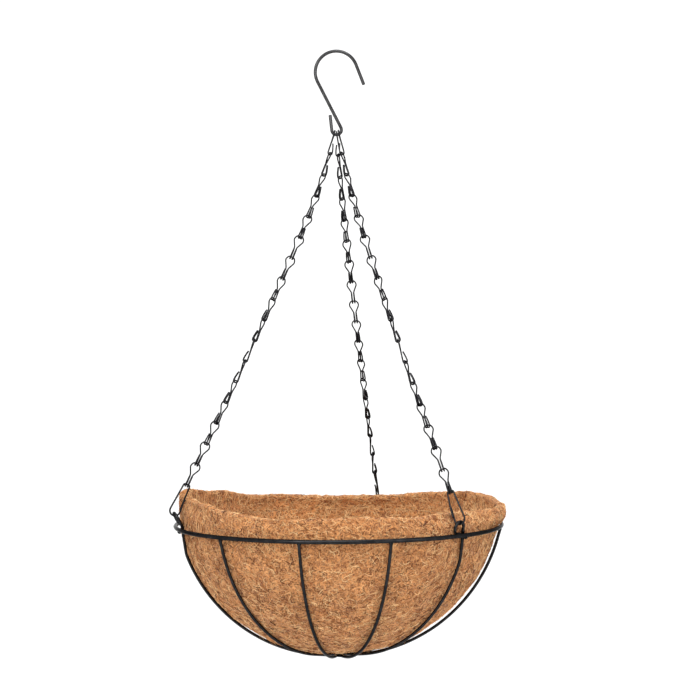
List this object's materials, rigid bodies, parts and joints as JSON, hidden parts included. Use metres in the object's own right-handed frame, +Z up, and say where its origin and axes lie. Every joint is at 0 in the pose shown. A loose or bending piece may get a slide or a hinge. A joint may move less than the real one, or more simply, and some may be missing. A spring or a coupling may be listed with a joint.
{
  "type": "hanging basket",
  "caption": "Round wire hanging basket with a coir liner, hung on three link chains from an S-hook.",
  "frame": {"origin": "inner top of the S-hook, where the basket hangs on a bracket or rail", "axes": "+Z up, -Y to the front, +X to the right with the S-hook lying in the XZ plane"},
  "size_m": [0.3559, 0.3552, 0.656],
  "materials": {
    "hook_wire": "satin dark grey coated wire",
    "coated_wire": "satin black coated wire",
    "chain_wire": "satin black finished wire",
    "coir": "matt needled coconut fibre felt"
  },
  "bodies": {
    "hook": {"s_hook": "hook_wire"},
    "top_links": {"left_link_01": "chain_wire", "back_link_01": "chain_wire", "right_link_01": "chain_wire"},
    "basket": {"rim_hoop": "coated_wire", "rib_cross_1": "coated_wire", "rib_cross_2": "coated_wire", "rib_cross_3": "coated_wire", "coir_liner": "coir"},
    "left_link_02": {"left_link_02": "chain_wire"},
    "left_link_03": {"left_link_03": "chain_wire"},
    "left_link_04": {"left_link_04": "chain_wire"},
    "left_link_05": {"left_link_05": "chain_wire"},
    "left_link_06": {"left_link_06": "chain_wire"},
    "left_link_07": {"left_link_07": "chain_wire"},
    "left_link_08": {"left_link_08": "chain_wire"},
    "left_link_09": {"left_link_09": "chain_wire"},
    "left_link_10": {"left_link_10": "chain_wire"},
    "left_link_11": {"left_link_11": "chain_wire"},
    "left_link_12": {"left_link_12": "chain_wire"},
    "left_link_13": {"left_link_13": "chain_wire"},
    "left_link_14": {"left_link_14": "chain_wire"},
    "left_link_15": {"left_link_15": "chain_wire"},
    "left_link_16": {"left_link_16": "chain_wire"},
    "left_link_17": {"left_link_17": "chain_wire"},
    "left_clip": {"left_clip": "chain_wire"},
    "back_link_02": {"back_link_02": "chain_wire"},
    "back_link_03": {"back_link_03": "chain_wire"},
    "back_link_04": {"back_link_04": "chain_wire"},
    "back_link_05": {"back_link_05": "chain_wire"},
    "back_link_06": {"back_link_06": "chain_wire"},
    "back_link_07": {"back_link_07": "chain_wire"},
    "back_link_08": {"back_link_08": "chain_wire"},
    "back_link_09": {"back_link_09": "chain_wire"},
    "back_link_10": {"back_link_10": "chain_wire"},
    "back_link_11": {"back_link_11": "chain_wire"},
    "back_link_12": {"back_link_12": "chain_wire"},
    "back_link_13": {"back_link_13": "chain_wire"},
    "back_link_14": {"back_link_14": "chain_wire"},
    "back_link_15": {"back_link_15": "chain_wire"},
    "back_link_16": {"back_link_16": "chain_wire"},
    "back_link_17": {"back_link_17": "chain_wire"},
    "back_clip": {"back_clip": "chain_wire"},
    "right_link_02": {"right_link_02": "chain_wire"},
    "right_link_03": {"right_link_03": "chain_wire"},
    "right_link_04": {"right_link_04": "chain_wire"},
    "right_link_05": {"right_link_05": "chain_wire"},
    "right_link_06": {"right_link_06": "chain_wire"},
    "right_link_07": {"right_link_07": "chain_wire"},
    "right_link_08": {"right_link_08": "chain_wire"},
    "right_link_09": {"right_link_09": "chain_wire"},
    "right_link_10": {"right_link_10": "chain_wire"},
    "right_link_11": {"right_link_11": "chain_wire"},
    "right_link_12": {"right_link_12": "chain_wire"},
    "right_link_13": {"right_link_13": "chain_wire"},
    "right_link_14": {"right_link_14": "chain_wire"},
    "right_link_15": {"right_link_15": "chain_wire"},
    "right_link_16": {"right_link_16": "chain_wire"},
    "right_link_17": {"right_link_17": "chain_wire"},
    "right_clip": {"right_clip": "chain_wire"}
  },
  "joints": [
    {"name": "basket_swing", "type": "hinge", "parent": "hook", "child": "top_links", "pos_m": [0, 0, -0.0888], "axis": [1, 0, 0], "range_deg": [-25, 25]},
    {"name": "basket_lift", "type": "slide", "parent": "top_links", "child": "basket", "axis": [0, 0, 1], "range_m": [0, 0.01]},
    {"name": "left_play_02", "type": "slide", "parent": "top_links", "child": "left_link_02", "axis": [0, 0, 1], "range_m": [0, 0.000451]},
    {"name": "left_play_03", "type": "slide", "parent": "top_links", "child": "left_link_03", "axis": [0, 0, 1], "range_m": [0, 0.000901]},
    {"name": "left_play_04", "type": "slide", "parent": "top_links", "child": "left_link_04", "axis": [0, 0, 1], "range_m": [0, 0.00135]},
    {"name": "left_play_05", "type": "slide", "parent": "top_links", "child": "left_link_05", "axis": [0, 0, 1], "range_m": [0, 0.0018]},
    {"name": "left_play_06", "type": "slide", "parent": "top_links", "child": "left_link_06", "axis": [0, 0, 1], "range_m": [0, 0.00225]},
    {"name": "left_play_07", "type": "slide", "parent": "top_links", "child": "left_link_07", "axis": [0, 0, 1], "range_m": [0, 0.0027]},
    {"name": "left_play_08", "type": "slide", "parent": "top_links", "child": "left_link_08", "axis": [0, 0, 1], "range_m": [0, 0.00315]},
    {"name": "left_play_09", "type": "slide", "parent": "top_links", "child": "left_link_09", "axis": [0, 0, 1], "range_m": [0, 0.0036]},
    {"name": "left_play_10", "type": "slide", "parent": "top_links", "child": "left_link_10", "axis": [0, 0, 1], "range_m": [0, 0.00405]},
    {"name": "left_play_11", "type": "slide", "parent": "top_links", "child": "left_link_11", "axis": [0, 0, 1], "range_m": [0, 0.0045]},
    {"name": "left_play_12", "type": "slide", "parent": "top_links", "child": "left_link_12", "axis": [0, 0, 1], "range_m": [0, 0.00495]},
    {"name": "left_play_13", "type": "slide", "parent": "top_links", "child": "left_link_13", "axis": [0, 0, 1], "range_m": [0, 0.0054]},
    {"name": "left_play_14", "type": "slide", "parent": "top_links", "child": "left_link_14", "axis": [0, 0, 1], "range_m": [0, 0.00585]},
    {"name": "left_play_15", "type": "slide", "parent": "top_links", "child": "left_link_15", "axis": [0, 0, 1], "range_m": [0, 0.0063]},
    {"name": "left_play_16", "type": "slide", "parent": "top_links", "child": "left_link_16", "axis": [0, 0, 1], "range_m": [0, 0.00675]},
    {"name": "left_play_17", "type": "slide", "parent": "top_links", "child": "left_link_17", "axis": [0, 0, 1], "range_m": [0, 0.0072]},
    {"name": "left_clip_play", "type": "slide", "parent": "top_links", "child": "left_clip", "axis": [0, 0, 1], "range_m": [0, 0.0074]},
    {"name": "back_play_02", "type": "slide", "parent": "top_links", "child": "back_link_02", "axis": [0, 0, 1], "range_m": [0, 0.000451]},
    {"name": "back_play_03", "type": "slide", "parent": "top_links", "child": "back_link_03", "axis": [0, 0, 1], "range_m": [0, 0.000901]},
    {"name": "back_play_04", "type": "slide", "parent": "top_links", "child": "back_link_04", "axis": [0, 0, 1], "range_m": [0, 0.00135]},
    {"name": "back_play_05", "type": "slide", "parent": "top_links", "child": "back_link_05", "axis": [0, 0, 1], "range_m": [0, 0.0018]},
    {"name": "back_play_06", "type": "slide", "parent": "top_links", "child": "back_link_06", "axis": [0, 0, 1], "range_m": [0, 0.00225]},
    {"name": "back_play_07", "type": "slide", "parent": "top_links", "child": "back_link_07", "axis": [0, 0, 1], "range_m": [0, 0.0027]},
    {"name": "back_play_08", "type": "slide", "parent": "top_links", "child": "back_link_08", "axis": [0, 0, 1], "range_m": [0, 0.00315]},
    {"name": "back_play_09", "type": "slide", "parent": "top_links", "child": "back_link_09", "axis": [0, 0, 1], "range_m": [0, 0.0036]},
    {"name": "back_play_10", "type": "slide", "parent": "top_links", "child": "back_link_10", "axis": [0, 0, 1], "range_m": [0, 0.00405]},
    {"name": "back_play_11", "type": "slide", "parent": "top_links", "child": "back_link_11", "axis": [0, 0, 1], "range_m": [0, 0.0045]},
    {"name": "back_play_12", "type": "slide", "parent": "top_links", "child": "back_link_12", "axis": [0, 0, 1], "range_m": [0, 0.00495]},
    {"name": "back_play_13", "type": "slide", "parent": "top_links", "child": "back_link_13", "axis": [0, 0, 1], "range_m": [0, 0.0054]},
    {"name": "back_play_14", "type": "slide", "parent": "top_links", "child": "back_link_14", "axis": [0, 0, 1], "range_m": [0, 0.00585]},
    {"name": "back_play_15", "type": "slide", "parent": "top_links", "child": "back_link_15", "axis": [0, 0, 1], "range_m": [0, 0.0063]},
    {"name": "back_play_16", "type": "slide", "parent": "top_links", "child": "back_link_16", "axis": [0, 0, 1], "range_m": [0, 0.00675]},
    {"name": "back_play_17", "type": "slide", "parent": "top_links", "child": "back_link_17", "axis": [0, 0, 1], "range_m": [0, 0.0072]},
    {"name": "back_clip_play", "type": "slide", "parent": "top_links", "child": "back_clip", "axis": [0, 0, 1], "range_m": [0, 0.0074]},
    {"name": "right_play_02", "type": "slide", "parent": "top_links", "child": "right_link_02", "axis": [0, 0, 1], "range_m": [0, 0.000451]},
    {"name": "right_play_03", "type": "slide", "parent": "top_links", "child": "right_link_03", "axis": [0, 0, 1], "range_m": [0, 0.000901]},
    {"name": "right_play_04", "type": "slide", "parent": "top_links", "child": "right_link_04", "axis": [0, 0, 1], "range_m": [0, 0.00135]},
    {"name": "right_play_05", "type": "slide", "parent": "top_links", "child": "right_link_05", "axis": [0, 0, 1], "range_m": [0, 0.0018]},
    {"name": "right_play_06", "type": "slide", "parent": "top_links", "child": "right_link_06", "axis": [0, 0, 1], "range_m": [0, 0.00225]},
    {"name": "right_play_07", "type": "slide", "parent": "top_links", "child": "right_link_07", "axis": [0, 0, 1], "range_m": [0, 0.0027]},
    {"name": "right_play_08", "type": "slide", "parent": "top_links", "child": "right_link_08", "axis": [0, 0, 1], "range_m": [0, 0.00315]},
    {"name": "right_play_09", "type": "slide", "parent": "top_links", "child": "right_link_09", "axis": [0, 0, 1], "range_m": [0, 0.0036]},
    {"name": "right_play_10", "type": "slide", "parent": "top_links", "child": "right_link_10", "axis": [0, 0, 1], "range_m": [0, 0.00405]},
    {"name": "right_play_11", "type": "slide", "parent": "top_links", "child": "right_link_11", "axis": [0, 0, 1], "range_m": [0, 0.0045]},
    {"name": "right_play_12", "type": "slide", "parent": "top_links", "child": "right_link_12", "axis": [0, 0, 1], "range_m": [0, 0.00495]},
    {"name": "right_play_13", "type": "slide", "parent": "top_links", "child": "right_link_13", "axis": [0, 0, 1], "range_m": [0, 0.0054]},
    {"name": "right_play_14", "type": "slide", "parent": "top_links", "child": "right_link_14", "axis": [0, 0, 1], "range_m": [0, 0.00585]},
    {"name": "right_play_15", "type": "slide", "parent": "top_links", "child": "right_link_15", "axis": [0, 0, 1], "range_m": [0, 0.0063]},
    {"name": "right_play_16", "type": "slide", "parent": "top_links", "child": "right_link_16", "axis": [0, 0, 1], "range_m": [0, 0.00675]},
    {"name": "right_play_17", "type": "slide", "parent": "top_links", "child": "right_link_17", "axis": [0, 0, 1], "range_m": [0, 0.0072]},
    {"name": "right_clip_play", "type": "slide", "parent": "top_links", "child": "right_clip", "axis": [0, 0, 1], "range_m": [0, 0.0074]}
  ],
  "couplings": [
    {"joint": "left_play_02", "follows": "basket_lift", "ratio": 0.045},
    {"joint": "left_play_03", "follows": "basket_lift", "ratio": 0.09},
    {"joint": "left_play_04", "follows": "basket_lift", "ratio": 0.135},
    {"joint": "left_play_05", "follows": "basket_lift", "ratio": 0.18},
    {"joint": "left_play_06", "follows": "basket_lift", "ratio": 0.225},
    {"joint": "left_play_07", "follows": "basket_lift", "ratio": 0.27},
    {"joint": "left_play_08", "follows": "basket_lift", "ratio": 0.315},
    {"joint": "left_play_09", "follows": "basket_lift", "ratio": 0.36},
    {"joint": "left_play_10", "follows": "basket_lift", "ratio": 0.405},
    {"joint": "left_play_11", "follows": "basket_lift", "ratio": 0.45},
    {"joint": "left_play_12", "follows": "basket_lift", "ratio": 0.495},
    {"joint": "left_play_13", "follows": "basket_lift", "ratio": 0.54},
    {"joint": "left_play_14", "follows": "basket_lift", "ratio": 0.585},
    {"joint": "left_play_15", "follows": "basket_lift", "ratio": 0.63},
    {"joint": "left_play_16", "follows": "basket_lift", "ratio": 0.675},
    {"joint": "left_play_17", "follows": "basket_lift", "ratio": 0.72},
    {"joint": "left_clip_play", "follows": "basket_lift", "ratio": 0.74},
    {"joint": "back_play_02", "follows": "basket_lift", "ratio": 0.045},
    {"joint": "back_play_03", "follows": "basket_lift", "ratio": 0.09},
    {"joint": "back_play_04", "follows": "basket_lift", "ratio": 0.135},
    {"joint": "back_play_05", "follows": "basket_lift", "ratio": 0.18},
    {"joint": "back_play_06", "follows": "basket_lift", "ratio": 0.225},
    {"joint": "back_play_07", "follows": "basket_lift", "ratio": 0.27},
    {"joint": "back_play_08", "follows": "basket_lift", "ratio": 0.315},
    {"joint": "back_play_09", "follows": "basket_lift", "ratio": 0.36},
    {"joint": "back_play_10", "follows": "basket_lift", "ratio": 0.405},
    {"joint": "back_play_11", "follows": "basket_lift", "ratio": 0.45},
    {"joint": "back_play_12", "follows": "basket_lift", "ratio": 0.495},
    {"joint": "back_play_13", "follows": "basket_lift", "ratio": 0.54},
    {"joint": "back_play_14", "follows": "basket_lift", "ratio": 0.585},
    {"joint": "back_play_15", "follows": "basket_lift", "ratio": 0.63},
    {"joint": "back_play_16", "follows": "basket_lift", "ratio": 0.675},
    {"joint": "back_play_17", "follows": "basket_lift", "ratio": 0.72},
    {"joint": "back_clip_play", "follows": "basket_lift", "ratio": 0.74},
    {"joint": "right_play_02", "follows": "basket_lift", "ratio": 0.045},
    {"joint": "right_play_03", "follows": "basket_lift", "ratio": 0.09},
    {"joint": "right_play_04", "follows": "basket_lift", "ratio": 0.135},
    {"joint": "right_play_05", "follows": "basket_lift", "ratio": 0.18},
    {"joint": "right_play_06", "follows": "basket_lift", "ratio": 0.225},
    {"joint": "right_play_07", "follows": "basket_lift", "ratio": 0.27},
    {"joint": "right_play_08", "follows": "basket_lift", "ratio": 0.315},
    {"joint": "right_play_09", "follows": "basket_lift", "ratio": 0.36},
    {"joint": "right_play_10", "follows": "basket_lift", "ratio": 0.405},
    {"joint": "right_play_11", "follows": "basket_lift", "ratio": 0.45},
    {"joint": "right_play_12", "follows": "basket_lift", "ratio": 0.495},
    {"joint": "right_play_13", "follows": "basket_lift", "ratio": 0.54},
    {"joint": "right_play_14", "follows": "basket_lift", "ratio": 0.585},
    {"joint": "right_play_15", "follows": "basket_lift", "ratio": 0.63},
    {"joint": "right_play_16", "follows": "basket_lift", "ratio": 0.675},
    {"joint": "right_play_17", "follows": "basket_lift", "ratio": 0.72},
    {"joint": "right_clip_play", "follows": "basket_lift", "ratio": 0.74}
  ]
}
